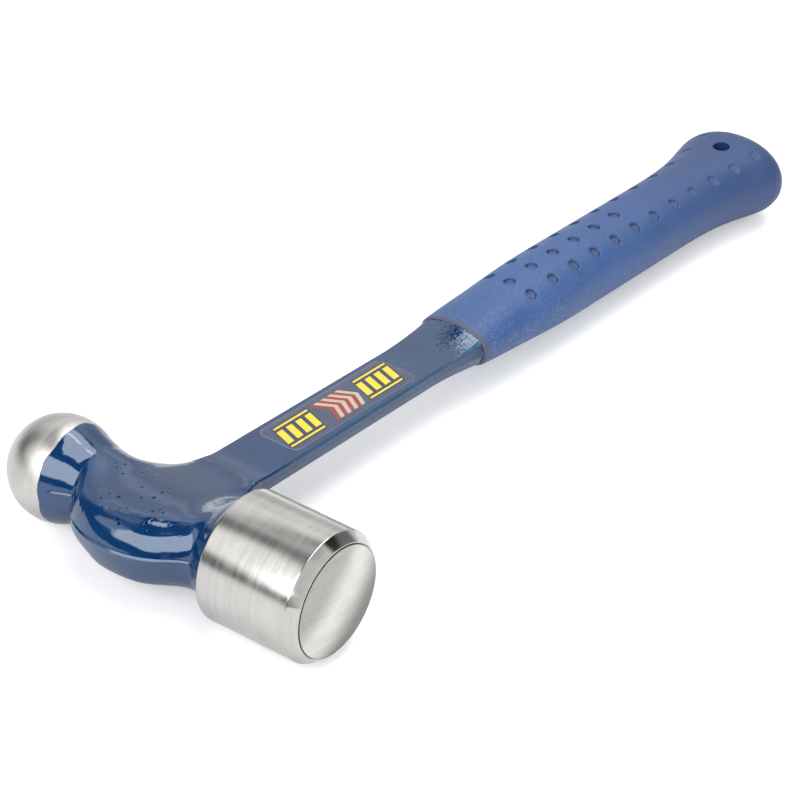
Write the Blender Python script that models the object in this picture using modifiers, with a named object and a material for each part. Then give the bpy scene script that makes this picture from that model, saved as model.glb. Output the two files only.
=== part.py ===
"""Ball peen hammer, forged in one piece, with a vinyl grip and a film label.

The hammer lies on its side. +X runs along the handle to the butt, -Y is the striking face,
+Y is the ball, and +Z is up. Sizes are in metres.
"""
from math import asin, atan2, cos, pi, radians, sin, sqrt

import bmesh
import bpy
from mathutils import Matrix, Vector

MM = 0.001

# Head, measured along its own axis from the handle's axis
RAKE = radians(1.2)            # the head leans this much from square to the handle
BALL_RADIUS = 16.3 * MM
BALL_CENTRE = 39.6 * MM
NECK_RADIUS = 12.5 * MM
NECK_FILLET = 7.0 * MM
CORE_RADIUS = 10.0 * MM        # the turned bar's radius inside the cheeks
CORE_END = 14.0 * MM           # where the bar reaches its core radius, on the ball's side
COLLAR_START = 8.0 * MM        # where the collar starts to widen toward the poll
COLLAR_RADIUS = 16.3 * MM
POLL_RADIUS = 20.3 * MM
POLL_BACK = 28.5 * MM          # back of the poll, from the handle's axis
POLL_LENGTH = 34.7 * MM        # back of the poll to the striking face's rim
POLL_BACK_ROUND = 2.5 * MM
FACE_RADIUS = 17.4 * MM
FACE_CHAMFER = 2.5 * MM        # length of the chamfer along the head
FACE_CROWN = 1.8 * MM          # how far the middle of the face stands out

# Cheeks, a rounded disc between the neck and the poll
BELLY_RADIUS = 25.1 * MM
BELLY_HALF_LENGTH = 26.5 * MM  # along the head
CHEEK_HALF = 11.2 * MM         # half the thickness across the flat cheeks
CHEEK_RISE = 2.0 * MM          # the cheeks thicken this much toward the neck and the poll
CHEEK_BACK = 12.0 * MM         # reach of the cheeks toward the handle
CHEEK_TUCK = 1.0 * MM          # how deep the cheeks' ends sit inside the neck
BELLY_SPREAD = radians(60.0)   # half the arc that the cheeks' sections cover
CHEEK_SQUARENESS = 3.7

# Shank and tang, measured along the handle from the head's axis
SHANK_START = 6.0 * MM
SHANK_ROOT = 0.4 * MM          # the shank starts this much thinner than the cheeks
SHANK_HALF_WIDTH = 9.8 * MM
SHANK_TAPER = 0.7 * MM         # half-width lost from the head to the waist
SHANK_HALF = 2.75 * MM
SHANK_THIN = 30.0 * MM         # the shank is at its own thickness from here
SHANK_SLOPE = 1.6              # power of the slope from the cheeks down to the shank
FILLET_LENGTH = 18.0 * MM      # the fillet between head and shank, along the handle
FILLET_WIDTH = 14.0 * MM       # and across it
FILLET_END = 31.0 * MM
FILLET_FULLNESS = 1.6          # 2 is an ellipse, less fills the corner
SHANK_WAIST = 110.0 * MM       # the shank flares from here to the grip
FLARE_POWER = 1.6
SHANK_SQUARENESS = 8.0
TANG_HALF_WIDTH = 10.5 * MM
TANG_HALF = 5.2 * MM
TANG_TAPER = 2.0 * MM          # half-width lost along the tang
TANG_THINNING = 1.2 * MM
TANG_SQUARENESS = 3.0
TANG_TO_HOLE = 13.0 * MM       # steel ends this far before the hole's edge

# Grip
GRIP_FRONT = 135.0 * MM
GRIP_LENGTH = 183.0 * MM
GRIP_FRONT_HALF = 13.2 * MM
GRIP_SWELL = 3.2 * MM          # half-width gained from the front to the palm
GRIP_SWELL_LENGTH = 70.0 * MM
GRIP_FRONT_THICK = 7.9 * MM    # half-thicknesses: at the front, gained at the palm and the butt
GRIP_THICKENING = 2.6 * MM
BUTT_THICKENING = 3.8 * MM
GRIP_SQUARENESS = 2.3
BUTT_FLARE = 4.4 * MM
BUTT_FLARE_LENGTH = 60.0 * MM
BUTT_FLARE_POWER = 2.3
BUTT_DOME = 12.0 * MM
DOME_EDGE = radians(82.0)      # the dome's rings stop here, short of its tip
DOME_TIP = 0.15                # size of the flat tip, as a share of the butt
BOND_GAP = 0.3 * MM
HOLE_RADIUS = 3.0 * MM
HOLE_TO_BUTT = 19.3 * MM

# Dimples in the grip
DIMPLE_PITCH = 12.25 * MM
DIMPLE_START = 34.0 * MM       # first dimple, from the grip's front
DIMPLE_COUNT = 12
MIDDLE_COUNT = 6
DIMPLE_SIDE = 8.7 * MM         # outer rows, from the middle
DIMPLE_RADIUS = 2.1 * MM
DIMPLE_DEPTH = 1.0 * MM

# Label
LABEL_LENGTH = 60.0 * MM
LABEL_TO_FLARE = 0.5 * MM      # the label ends this far before the shank's flare
LABEL_MARGIN = 1.0 * MM        # from the label's edge to the shank's edge
LABEL_CORNER = 4.0 * MM
LABEL_THICKNESS = 0.25 * MM

# Facets
TURN_STEPS = 48
RING_POINTS = 32
ARC_STEP = radians(12.0)
SHARP_ANGLE = radians(35.0)    # steeper edges are shaded sharp

FACE_RIM = POLL_BACK + POLL_LENGTH
GRIP_END = GRIP_FRONT + GRIP_LENGTH
HOLE_PLACE = GRIP_END - HOLE_TO_BUTT
TANG_END = HOLE_PLACE - HOLE_RADIUS - TANG_TO_HOLE
LABEL_END = SHANK_WAIST - LABEL_TO_FLARE


def clear_scene():
    """Remove every object that the scene starts with."""
    for item in list(bpy.data.objects):
        bpy.data.objects.remove(item, do_unlink=True)


def new_collection(name):
    collection = bpy.data.collections.new(name)
    bpy.context.scene.collection.children.link(collection)
    return collection


def new_material(name, colour, roughness, metallic):
    material = bpy.data.materials.new(name)
    material.use_nodes = True
    shader = material.node_tree.nodes["Principled BSDF"]
    shader.inputs["Base Color"].default_value = (*colour, 1.0)
    shader.inputs["Roughness"].default_value = roughness
    shader.inputs["Metallic"].default_value = metallic
    return material


def new_object(name, mesh_builder, collection, parent):
    """Turn a bmesh into a smooth-shaded object with its faces pointing out."""
    bmesh.ops.recalc_face_normals(mesh_builder, faces=mesh_builder.faces)
    mesh = bpy.data.meshes.new(name)
    mesh_builder.to_mesh(mesh)
    mesh_builder.free()
    mesh.shade_smooth()
    mesh.set_sharp_from_angle(angle=SHARP_ANGLE)
    item = bpy.data.objects.new(name, mesh)
    item.parent = parent
    collection.objects.link(item)
    return item


def as_tool(item):
    """Keep an object only as an operand for Boolean modifiers."""
    item.hide_render = True
    item.display_type = 'WIRE'
    return item


def boolean(item, tool, operation):
    step = item.modifiers.new(tool.name, 'BOOLEAN')
    step.operation = operation
    step.object = tool


def ease(value):
    """A smooth step from 0 to 1."""
    share = min(1.0, max(0.0, value))
    return share * share * (3.0 - 2.0 * share)


def mix(first, second, share):
    return first + (second - first) * share


def span(start, end, count):
    """Evenly spaced values, both ends included."""
    return [mix(start, end, index / count) for index in range(count + 1)]


def arc(centre, radius, start, end):
    """Points of an arc in a profile's plane, both ends included."""
    count = max(2, round(abs(end - start) / ARC_STEP))
    return [(centre[0] + radius * cos(angle), centre[1] + radius * sin(angle))
            for angle in span(start, end, count)]


def signed_power(value, exponent):
    return abs(value) ** exponent * (1.0 if value >= 0.0 else -1.0)


def oval(half_width, half_height, squareness, shift=0.0):
    """A superellipse: an oval that squares up as its exponent grows."""
    points = []
    for index in range(RING_POINTS):
        angle = 2.0 * pi * (index + shift) / RING_POINTS
        points.append((half_width * signed_power(cos(angle), 2.0 / squareness),
                       half_height * signed_power(sin(angle), 2.0 / squareness)))
    return points


def loft(rings):
    """Skin a row of rings, each with as many points, and close both ends."""
    builder = bmesh.new()
    rows = [[builder.verts.new(point) for point in ring] for ring in rings]
    for row, following in zip(rows, rows[1:]):
        for index in range(len(row)):
            after = (index + 1) % len(row)
            builder.faces.new((row[index], row[after], following[after], following[index]))
    builder.faces.new(rows[0])
    builder.faces.new(rows[-1])
    return builder


def turned(name, profile, collection, parent):
    """Turn a profile of (radius, height) points about Z."""
    builder = bmesh.new()
    points = [builder.verts.new((radius, 0.0, height)) for radius, height in profile]
    for point, following in zip(points, points[1:]):
        builder.edges.new((point, following))
    item = new_object(name, builder, collection, parent)
    screw = item.modifiers.new("turn", 'SCREW')
    screw.steps = TURN_STEPS
    screw.render_steps = TURN_STEPS
    screw.use_merge_vertices = True
    screw.merge_threshold = 0.00001
    screw.use_smooth_shade = True
    return item


def neck_drop():
    """From the ball's centre to the neck's narrowest place."""
    return sqrt((BALL_RADIUS + NECK_FILLET) ** 2 - (NECK_RADIUS + NECK_FILLET) ** 2)


def head_profile():
    """The head's radius along its axis, from the ball's tip to the middle of the face."""
    reach = NECK_RADIUS + NECK_FILLET
    meeting = atan2(neck_drop(), reach)
    profile = arc((0.0, BALL_CENTRE), BALL_RADIUS, pi / 2.0, -meeting)
    profile += arc((reach, BALL_CENTRE - neck_drop()), NECK_FILLET, pi - meeting, pi)[1:]
    profile.append((CORE_RADIUS, CORE_END))
    collar_fillet = POLL_RADIUS - POLL_BACK_ROUND - COLLAR_RADIUS
    collar_end = POLL_BACK - collar_fillet
    for share in span(0.0, 1.0, 6):
        profile.append((mix(CORE_RADIUS, COLLAR_RADIUS, ease(share)),
                        -mix(COLLAR_START, collar_end, share)))
    profile += arc((COLLAR_RADIUS + collar_fillet, -collar_end), collar_fillet, pi, 1.5 * pi)[1:]
    rounding = (POLL_RADIUS - POLL_BACK_ROUND, -POLL_BACK - POLL_BACK_ROUND)
    profile += arc(rounding, POLL_BACK_ROUND, pi / 2.0, 0.0)[1:]
    profile.append((POLL_RADIUS, FACE_CHAMFER - FACE_RIM))
    crown_radius = (FACE_RADIUS ** 2 + FACE_CROWN ** 2) / (2.0 * FACE_CROWN)
    crown_centre = (0.0, crown_radius - FACE_CROWN - FACE_RIM)
    edge = asin(FACE_RADIUS / crown_radius)
    for angle in span(edge, 0.0, 3):
        profile.append((crown_radius * sin(angle), crown_centre[1] - crown_radius * cos(angle)))
    profile[0] = (0.0, profile[0][1])
    profile[-1] = (0.0, profile[-1][1])
    return profile


def cheek_rings():
    """Sections across the head: a rounded disc with flat cheeks, tucked into neck and poll."""
    rings = []

    def add(place, reach, back, half, squareness):
        ring = [(across if across < 0.0 else across * back / reach, place, height)
                for across, height in oval(reach, half, squareness)]
        rings.append(ring)

    inset = NECK_RADIUS - CHEEK_TUCK
    add(BALL_CENTRE - neck_drop(), inset, inset, inset, 2.0)
    for angle in span(pi / 2.0 - BELLY_SPREAD, pi / 2.0 + BELLY_SPREAD, 18):
        fullness = sin(angle)
        add(BELLY_HALF_LENGTH * cos(angle), BELLY_RADIUS * fullness,
            CHEEK_BACK * fullness ** 0.3, CHEEK_HALF + CHEEK_RISE * (1.0 - fullness) ** 2,
            mix(2.0, CHEEK_SQUARENESS, ease(fullness)))
    add(-POLL_BACK, inset, inset, inset, 2.0)
    return rings


def shank_rings():
    """Sections along the handle: fillet at the head, flat shank, flare and tapered tang."""
    rings = []

    def add(place, half_width, half, squareness):
        rings.append([(place, side, height)
                      for side, height in oval(half_width, half, squareness, 0.5)])

    root_width = SHANK_HALF_WIDTH + FILLET_WIDTH
    add(SHANK_START, root_width, shank_half(SHANK_START), CHEEK_SQUARENESS)
    for angle in span(0.0, pi / 2.0, 9):
        share = cos(angle)
        place = FILLET_END - FILLET_LENGTH * share
        narrowing = (1.0 - share ** FILLET_FULLNESS) ** (1.0 / FILLET_FULLNESS)
        add(place, root_width - FILLET_WIDTH * narrowing, shank_half(place),
            mix(CHEEK_SQUARENESS, SHANK_SQUARENESS, sin(angle)))
    waist = SHANK_HALF_WIDTH - SHANK_TAPER
    for share in span(0.0, 1.0, 8):
        place = mix(SHANK_WAIST, GRIP_FRONT, share)
        add(place, mix(waist, GRIP_FRONT_HALF, share ** FLARE_POWER),
            mix(SHANK_HALF, GRIP_FRONT_THICK, share ** FLARE_POWER),
            mix(SHANK_SQUARENESS, GRIP_SQUARENESS, ease(1.5 * share)))
    rings += tang_rings(0.0)
    return rings


def shank_half(place):
    """Half the thickness, easing from the cheeks down to the shank's own."""
    rest = max(0.0, (SHANK_THIN - place) / (SHANK_THIN - SHANK_START))
    return mix(SHANK_HALF, CHEEK_HALF - SHANK_ROOT, rest ** SHANK_SLOPE)


def tang_rings(clearance):
    """Sections of the tang, or of its socket when they grow by a clearance."""
    rings = []
    for share in span(0.0, 1.0, 6):
        place = mix(GRIP_FRONT, TANG_END, share) + clearance * share
        half_width = TANG_HALF_WIDTH - TANG_TAPER * share + clearance
        half = TANG_HALF - TANG_THINNING * share + clearance
        rings.append([(place, side, height)
                      for side, height in oval(half_width, half, TANG_SQUARENESS, 0.5)])
    return rings


def grip_size(place):
    """Half the grip's width and thickness, without the dome that ends it."""
    swell = sin(min(1.0, (place - GRIP_FRONT) / GRIP_SWELL_LENGTH) * pi / 2.0)
    flare = max(0.0, 1.0 - (GRIP_END - BUTT_DOME - place) / BUTT_FLARE_LENGTH)
    spread = min(1.0, flare) ** BUTT_FLARE_POWER
    return (GRIP_FRONT_HALF + GRIP_SWELL * swell + BUTT_FLARE * spread,
            GRIP_FRONT_THICK + GRIP_THICKENING * swell + BUTT_THICKENING * spread)


def grip_rings():
    """Sections along the grip, closed by a dome at the butt."""
    rings = []

    def add(place, scale):
        half_width, half = grip_size(place)
        rings.append([(place, side, height) for side, height
                      in oval(half_width * scale, half * scale, GRIP_SQUARENESS)])

    dome_start = GRIP_END - BUTT_DOME
    for place in span(GRIP_FRONT + BOND_GAP, dome_start, 20):
        add(place, 1.0)
    for angle in span(0.0, DOME_EDGE, 7)[1:]:
        add(dome_start + BUTT_DOME * sin(angle) ** 0.8, cos(angle) ** 0.65)
    add(GRIP_END, DOME_TIP)
    return rings


def grip_surface(place, side):
    """Height and cross slope of the grip's upper side."""
    half_width, half = grip_size(place)
    share = abs(side) / half_width
    rest = 1.0 - share ** GRIP_SQUARENESS
    height = half * rest ** (1.0 / GRIP_SQUARENESS)
    slope = height / half_width * share ** (GRIP_SQUARENESS - 1.0) / rest
    return height, atan2(slope, 1.0) * (-1.0 if side > 0.0 else 1.0)


def dimples():
    """Flattened balls whose inner halves press the dimples into both sides of the grip."""
    builder = bmesh.new()
    shape = Matrix.Diagonal((DIMPLE_RADIUS, DIMPLE_RADIUS, DIMPLE_DEPTH, 1.0))
    rows = ((-DIMPLE_SIDE, DIMPLE_COUNT), (0.0, MIDDLE_COUNT), (DIMPLE_SIDE, DIMPLE_COUNT))
    for side, count in rows:
        for index in range(count):
            place = GRIP_FRONT + DIMPLE_START + DIMPLE_PITCH * index
            height, tilt = grip_surface(place, side)
            seat = Matrix.Translation((place, side, height)) @ Matrix.Rotation(tilt, 4, 'X')
            for flip in (Matrix.Identity(4), Matrix.Scale(-1.0, 4, Vector((0.0, 0.0, 1.0)))):
                bmesh.ops.create_uvsphere(builder, u_segments=10, v_segments=4, radius=1.0,
                                          matrix=flip @ seat @ shape)
    return builder


def label_rings():
    """The label's outline, a rectangle with round corners, on its lower and upper face."""
    half = SHANK_HALF_WIDTH - SHANK_TAPER - LABEL_MARGIN - LABEL_CORNER
    near = LABEL_END - LABEL_LENGTH + LABEL_CORNER
    far = LABEL_END - LABEL_CORNER
    outline = []
    for turn, centre in enumerate(((far, half), (near, half), (near, -half), (far, -half))):
        outline += arc(centre, LABEL_CORNER, turn * pi / 2.0, (turn + 1) * pi / 2.0)
    lower = SHANK_HALF + BOND_GAP
    return [[(x, y, height) for x, y in outline] for height in (lower, lower + LABEL_THICKNESS)]


def make_forging(parts, tools, root):
    """The forging: handle sections, cheeks and turned head in one body."""
    forging = new_object("forged_hammer", loft(shank_rings()), parts, root)
    head = turned("head_turning", head_profile(), tools, root)
    head.rotation_euler = (-pi / 2.0, 0.0, RAKE)
    cheeks = new_object("cheek_block", loft(cheek_rings()), tools, root)
    cheeks.rotation_euler = (0.0, 0.0, RAKE)
    boolean(forging, as_tool(cheeks), 'UNION')
    boolean(forging, as_tool(head), 'UNION')
    forging.data.materials.append(new_material("blue_lacquer", (0.012, 0.045, 0.16), 0.18, 0.0))


def make_grip(parts, tools, root):
    """The sleeve: socket for the tang, hang hole and dimples cut from one loft."""
    grip = new_object("grip", loft(grip_rings()), parts, root)
    socket = new_object("tang_socket", loft(tang_rings(BOND_GAP)), tools, root)
    hole = bmesh.new()
    bmesh.ops.create_cone(hole, cap_ends=True, segments=24, radius1=HOLE_RADIUS,
                          radius2=HOLE_RADIUS, depth=4.0 * grip_size(HOLE_PLACE)[1])
    hang_hole = new_object("hang_hole", hole, tools, root)
    hang_hole.location.x = HOLE_PLACE
    pressed = new_object("dimple_punch", dimples(), tools, root)
    for tool in (socket, hang_hole, pressed):
        boolean(grip, as_tool(tool), 'DIFFERENCE')
    grip.data.materials.append(new_material("blue_vinyl", (0.085, 0.16, 0.42), 0.55, 0.0))


def make_label(parts, root):
    """The film, lying on the shank's upper side."""
    label = new_object("label", loft(label_rings()), parts, root)
    label.data.materials.append(new_material("clear_film", (0.75, 0.68, 0.45), 0.25, 0.0))


def main():
    clear_scene()
    parts = new_collection("ball_peen_hammer")
    tools = new_collection("construction")
    root = bpy.data.objects.new("hammer", None)
    parts.objects.link(root)
    root.location.x = (BELLY_RADIUS - GRIP_END) / 2.0
    root.location.y = (FACE_RIM + FACE_CROWN - BALL_CENTRE - BALL_RADIUS) / 2.0
    root.location.z = POLL_RADIUS
    make_forging(parts, tools, root)
    make_grip(parts, tools, root)
    make_label(parts, root)


main()
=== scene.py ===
"""Looks of the ball peen hammer: forged and lacquered body, ground steel, vinyl grip and film label."""
from math import acos, cos, pi, radians, sin

import bpy
import numpy as np
from mathutils import Matrix


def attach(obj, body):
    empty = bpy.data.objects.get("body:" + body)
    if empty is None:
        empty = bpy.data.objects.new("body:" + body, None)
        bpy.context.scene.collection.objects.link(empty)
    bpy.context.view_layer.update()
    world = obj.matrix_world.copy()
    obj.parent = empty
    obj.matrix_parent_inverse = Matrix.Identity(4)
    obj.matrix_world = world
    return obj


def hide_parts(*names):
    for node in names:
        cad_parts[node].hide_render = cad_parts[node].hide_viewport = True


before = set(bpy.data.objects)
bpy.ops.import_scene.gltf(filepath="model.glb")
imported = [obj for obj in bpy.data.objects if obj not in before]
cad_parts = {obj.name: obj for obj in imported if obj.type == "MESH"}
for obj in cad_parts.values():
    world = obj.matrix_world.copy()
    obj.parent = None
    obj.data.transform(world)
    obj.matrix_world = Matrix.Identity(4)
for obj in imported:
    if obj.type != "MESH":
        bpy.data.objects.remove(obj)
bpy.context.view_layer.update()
scene = bpy.context.scene

# Sizes in millimetres, from the point where the handle's axis meets the head's axis. A fade is the
# start and the length of an eased step, counted in the direction in which the step runs.
MM = 0.001
ORIGIN = np.array([-146.45, 4.55, 20.3])
RAKE = radians(1.2)
ELLIPSE = 2.0  # squareness of a plain ellipse

# Ball, neck and the lacquer's edge
BALL_CENTRE = 40.1
BALL_RADIUS = 16.55
NECK_RADIUS = 11.8
NECK_BLEND = 4.5  # reach of the curve between the neck and the ball
NECK_BULGE = 1.6  # extra reach of the neck on the handle's side
NECK_BULGE_FADE = (-32.0, 6.0)
PAINT_EDGE = 35.6
PAINT_RADIUS = 16.0  # radius of the ball at that edge
PAINT_FILM = 0.07
PAINT_ROUND = 0.3
PAINT_WAVES = ((0.25, 5.0, 1.0), (0.15, 11.0, 0.0))  # height, waves in a turn and phase
PAINT_WAVE_FADE = (8.0, 5.0)  # by radius
PAINT_DOME = 0.06  # slope of the hidden end
BALL_UNDERLAP = 1.2  # the bare ball starts this far under the lacquer

# Belly and cheeks
BELLY_RADIUS = 25.3
BELLY_HALF_LENGTH = 25.7
BELLY_CENTRE = 1.4
BELLY_FULLNESS = 2.2
BELLY_NECK_BLEND = 2.5
BELLY_COLLAR_BLEND = 7.0
CHEEK_HALF = 11.2
CHEEK_SQUARENESS = 3.2
CHEEK_EDGE = 3.5
CHEEK_NECK_FADE = (6.0, 17.0)
CHEEK_COLLAR_FADE = (6.0, 20.0)
SIDE_RADIUS = 20.0  # arc of the belly's side above the parting plane, and below it
UNDER_RADIUS = 30.0
SIDE_DROP = 5.2
PARTING = 2.0
RIDGE_HEIGHT = 0.28
RIDGE_WIDTH = 0.45
RIDGE_NECK_FADE = (-34.0, 4.0)
RIDGE_COLLAR_FADE = (-28.0, 4.0)
RIDGE_SHANK_FADE = (-20.0, 6.0)
HEAD_DAMPING = 0.9  # keeps the blended distance short

# Collar and poll
COLLAR_CORE = 10.5
COLLAR_RADIUS = 18.6
COLLAR_POWER = 1.4
COLLAR_START = 8.0  # the collar widens from here, and rises from the next place
COLLAR_RISE_START = 9.0
COLLAR_FILLET = 2.0
POLL_BACK = 28.5
POLL_RADIUS = 20.3
POLL_CORE = 2.0
DISC_INSET = 0.35  # the lacquered disc behind the poll: inset, cover, edge and depth
DISC_COVER = 0.05
DISC_EDGE = 0.6
DISC_DEPTH = 2.0
BARREL_GAP = 0.1
FACE_RIM = 63.2
FACE_RADIUS = 17.6
FACE_CROWN = 1.8
FACE_STEP = 0.15
CHAMFER = 3.2
RIM_LAND = 0.3
RIM_HEIGHTS = (0.05, 0.12)
POLL_ROUNDS = (0.8, 0.3, 0.12)  # roundings of the back edge, the chamfer's edge and the rim
GROOVE_DEPTH = 0.25
GROOVE_WIDTH = 0.12
TURN_COLUMNS = 256

# Shank
SHANK_START = -10.0
SHANK_THIN = 36.0
SHANK_HALF = 2.65
SHANK_HALF_WIDTH = 10.6
SHANK_WAIST = 112.0
SHANK_WAIST_HALF = 10.4
SHANK_EDGE = 0.8
SHANK_DRAFT = radians(5.0)
SHANK_DAMPING = 0.95
SHANK_OVERLAP = 0.8  # how far the lacquer reaches into the grip
FLARE_POWER = 2.2
FLARE_OVERRUN = 1.05
FLARE_DRAFT = radians(24.0)
FLARE_CROWN = 2.2  # fall of the flare's arched top, at this much inside its edge
FLARE_CROWN_INSET = 1.9
LIP_CLEARANCE = 0.1
FILLET_LENGTH = 18.0
FILLET_WIDTH = 13.2
FILLET_END = 31.0
FILLET_FULLNESS = 1.6
ROOT_RUN = 4.0  # steepness of the head's reach inside the shank's width
ROOT_FADE = (12.0, 14.0)
HEAD_FADE = (20.0, 9.0)  # where the head turns into the bar

# Grip
GRIP_FRONT = 138.5
GRIP_END = 318.0
GRIP_FRONT_HALF = 13.4
GRIP_FRONT_THICK = 6.7
GRIP_LIP = 0.97
LIP_PLACES = np.array([0.0, 0.05, 0.15, 0.3])
LIP_SCALES = np.array([GRIP_LIP, 0.97, 0.988, 0.998])
GRIP_SQUARENESS = 2.1
GRIP_FRONT_SQUARENESS = 2.5
SQUARENESS_FADE = (GRIP_FRONT, 25.0)
SWELL_LENGTH = 58.0
PALM_SWELL = (1.6, 5.2)  # of the half width and the half thickness
SPREAD_LENGTH = 60.0
SPREAD_START_POWER = 3.9
SPREAD_END_POWER = 1.6
BUTT_SPREAD = (5.8, 2.4)
BUTT_DOME = 12.0
DOME_PLACE_POWER = 0.8
DOME_SIZE_POWER = 0.65
DOME_END = radians(86.0)
GRIP_STATIONS = ((GRIP_FRONT, 165.0, 1.0), (165.0, 307.0, 0.38))
GRIP_COLUMNS = 220
GRIP_CROWDING = 0.22  # crowds a ring's points onto the broad sides
HOLE_PLACE = 298.7
HOLE_RADIUS = 3.0
HOLE_EDGE_DEPTH = 0.15
HOLE_EDGE = 0.5
HOLE_EDGE_WIDTH = 0.7
BORE_REACH = 20.0
DIMPLE_PITCH = 12.25
DIMPLE_START = 169.0
DIMPLE_COUNT = 12
MIDDLE_COUNT = 6
MIDDLE_SHIFT = 0.7
DIMPLE_SIDE = 8.7
ROW_SPREAD = 3.0  # how far the outer rows part toward the butt
ROW_FADE = (265.0, 50.0)
DIMPLE_FADE = (225.0, 85.0)
DIMPLE_LEAST = 0.2
DIMPLE_RADIUS = 2.1
DIMPLE_DEPTH = 1.25
DIMPLE_RIM = 0.1
DIMPLE_WALL = 0.5
DIMPLE_NEAR = 1.5
DIMPLE_TILT = 0.35  # least tilt by which a dimple stretches round the grip

# Label and its print
LABEL_START = 49.6
LABEL_END = 109.6
LABEL_MIDDLE = 0.5 * (LABEL_START + LABEL_END)
LABEL_HALF_LENGTH = 0.5 * (LABEL_END - LABEL_START)
LABEL_HALF = 8.1
LABEL_CORNER = 3.0
LABEL_INSETS = np.array([0.0, 0.0, 0.06, 0.3, 0.6, 0.9, 0.995])
LABEL_HEIGHTS = np.array([-0.2, 0.05, 0.12, 0.12, 0.12, 0.12, 0.12])
CHEVRONS = (75.4, 88.9)
CHEVRON_HALF = 5.6
CHEVRON_LEAN = 0.6
CHEVRON_PERIOD = 3.4
CHEVRON_SHARE = 0.5
BARS = (11.2, 27.2)  # from the label's middle
BAR_HALF = 3.4
BAR_LEAN = 0.35
BAR_PERIOD = 4.4
BAR_SHARE = 0.62
RULE_END = 27.1
RULES = (4.6, 5.4)
BACKING = (10.6, 27.8)
BACKING_HALF = 6.2

# Grid of the forging's mesh, as stretches of (start, end, spacing) along each axis
FORGING_GRID = (
    ((-26.5, 32.0, 0.5), (32.0, 110.0, 1.0), (110.0, 140.0, 0.5)),
    ((-31.0, -10.4, 0.5), (-10.4, -8.4, 0.25), (-8.4, 8.4, 0.6), (8.4, 10.4, 0.25), (10.4, 34.4, 0.5),
     (34.4, 36.8, 0.24)),
    ((-20.7, -3.2, 0.5), (-3.2, 3.2, 0.2), (3.2, 20.7, 0.5)),
)

# Colours
BLACK = (0.0, 0.0, 0.0)
LACQUER_DEEP, LACQUER_LIGHT = (0.0009, 0.0195, 0.073), (0.0018, 0.0345, 0.119)
LACQUER_GLOSS = (0.8, 0.9, 1.0, 1.0)
LACQUER_PIT = (0.002, 0.012, 0.038)
# Pale painted highlight for the shank's edges
LACQUER_EDGE_HIGHLIGHT = (0.06, 0.18, 0.29)
STEEL_DULL, STEEL_BRIGHT = (0.53, 0.52, 0.50), (0.70, 0.69, 0.67)
VINYL_DEEP, VINYL_LIGHT = (0.034, 0.083, 0.230), (0.048, 0.109, 0.282)
VINYL_BUTT = (0.024, 0.050, 0.138)
VINYL_FLECK = (0.46, 0.54, 0.74)
VINYL_FRONT = (0.075, 0.085, 0.125)
# Painted shade for the dimples' walls and the hole's bore; the dimples' floors are greyer
DIMPLE_WALL_SHADE, DIMPLE_FLOOR_TONE = (0.012, 0.034, 0.110), (0.075, 0.105, 0.225)
HOLE_SHADE = (0.008, 0.035, 0.110)
FILM_DEEP, FILM_LIGHT = (0.050, 0.062, 0.110), (0.065, 0.079, 0.134)
FILM_BACKING = (0.030, 0.036, 0.070)
# Pale painted highlight round the film's edge
FILM_EDGE_HIGHLIGHT = (0.20, 0.24, 0.33)
PRINT_CREAM, PRINT_RED, PRINT_YELLOW = (0.52, 0.43, 0.33), (0.30, 0.035, 0.030), (0.78, 0.60, 0.035)
CARD_DEEP, CARD_LIGHT = (0.83, 0.83, 0.835), (0.86, 0.86, 0.865)

# The floor touches the poll's back edge, the ball and the butt
FLOOR_HEIGHT = -18.75
FLOOR_SLOPE_X = 0.0157
FLOOR_SLOPE_Y = 0.0545
FLOOR_REACH = 4000.0
FLOOR_LIFT = 0.33  # light added for the camera, and for reflections
FLOOR_GLOSS = 0.04

# Soft panels of the studio in azimuth and elevation, in degrees, in the order of the sockets
DIM_ROOM = 0.04
PANEL_SOCKETS = ("Centre", "Half Width", "Low", "High", "Strength", "Side Edge", "Low Edge", "High Edge")
PANELS = {
    "key": (186.5, 35.5, 13.0, 51.0, 4.2, 5.0, 1.5, 1.5),
    "overhead": (-60.0, 90.0, 66.0, 90.0, 4.0, 1.5, 1.5, 0.1),
    "left wall": (136.0, 18.0, 18.0, 55.0, 1.4, 6.0, 3.0, 6.0),
    "left gap": (102.0, 24.0, 50.0, 72.0, 0.18, 5.0, 4.0, 4.0),
    "left top": (76.0, 17.0, 50.0, 66.0, 0.55, 5.0, 3.0, 3.0),
    "back wall": (40.0, 45.0, -6.0, 52.0, 0.64, 3.0, 4.0, 2.0),
    "back upper": (40.0, 45.0, 33.0, 52.0, 0.42, 3.0, 8.0, 2.0),
    "skylight": (7.0, 31.0, 53.0, 70.0, 4.0, 1.5, 1.5, 1.5),
    "small skylight": (46.0, 9.0, 66.0, 82.0, 4.0, 1.5, 1.5, 1.5),
    "strip": (46.0, 20.0, 40.5, 44.0, 0.35, 4.0, 1.0, 1.0),
    "veil": (40.0, 24.0, 21.0, 30.0, 0.45, 4.0, 4.0, 4.0),
    "right wall": (-94.0, 46.0, -4.0, 56.0, 0.85, 5.0, 4.0, 8.0),
    "right gap": (-20.0, 20.0, -4.0, 35.0, 0.2, 4.0, 4.0, 4.0),
}


# Shape tools

def ease(value, start=0.0, length=1.0):
    """A smooth step from 0 to 1 over a length: three times the square less twice the cube."""
    share = np.clip((value - start) / length, 0.0, 1.0)
    return share * share * (3.0 - 2.0 * share)


def mix(first, second, share):
    """A straight blend of two values."""
    return first + (second - first) * share


def soft_union(first, second, radius):
    """Two solids' distances joined, with a round fillet of this radius in the corner between them."""
    corner = np.hypot(np.maximum(radius - first, 0.0), np.maximum(radius - second, 0.0))
    return np.maximum(radius, np.minimum(first, second)) - corner


def soft_overlap(first, second, radius):
    """What two solids share, with the edge between them rounded to this radius."""
    corner = np.hypot(np.maximum(radius + first, 0.0), np.maximum(radius + second, 0.0))
    return np.minimum(-radius, np.maximum(first, second)) + corner


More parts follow.
